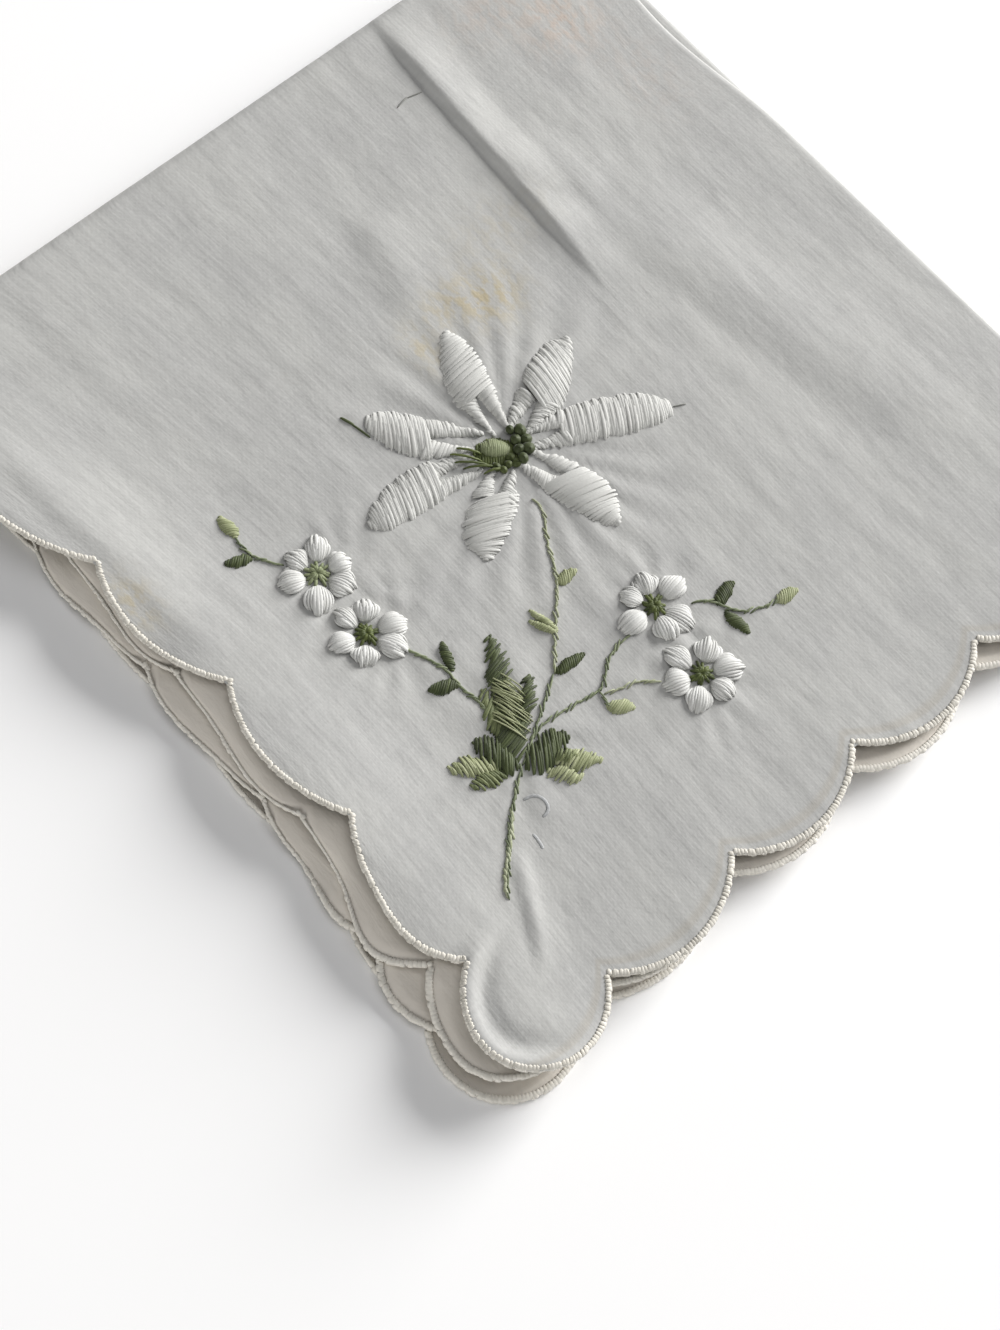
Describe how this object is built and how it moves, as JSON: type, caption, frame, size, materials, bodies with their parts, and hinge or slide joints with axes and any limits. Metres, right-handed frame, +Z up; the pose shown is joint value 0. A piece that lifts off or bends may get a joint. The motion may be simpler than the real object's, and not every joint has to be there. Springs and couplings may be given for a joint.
{
  "type": "folded linen handkerchief",
  "caption": "Square linen handkerchief with a scalloped edge, folded into quarters and lying flat, its embroidered round corner on top.",
  "frame": {"origin": "middle of the folded cloth's footprint, on the surface that it lies on", "axes": "+Z up; +X towards the crease of the first fold, +Y towards the nested crease of the second fold; the embroidered corner is at -X -Y"},
  "size_m": [0.1556, 0.1552, 0.0085],
  "materials": {
    "linen": "fine plain-weave washed linen, off-white, matt"
  },
  "bodies": {
    "root": {"linen_square": "linen"}
  },
  "joints": []
}
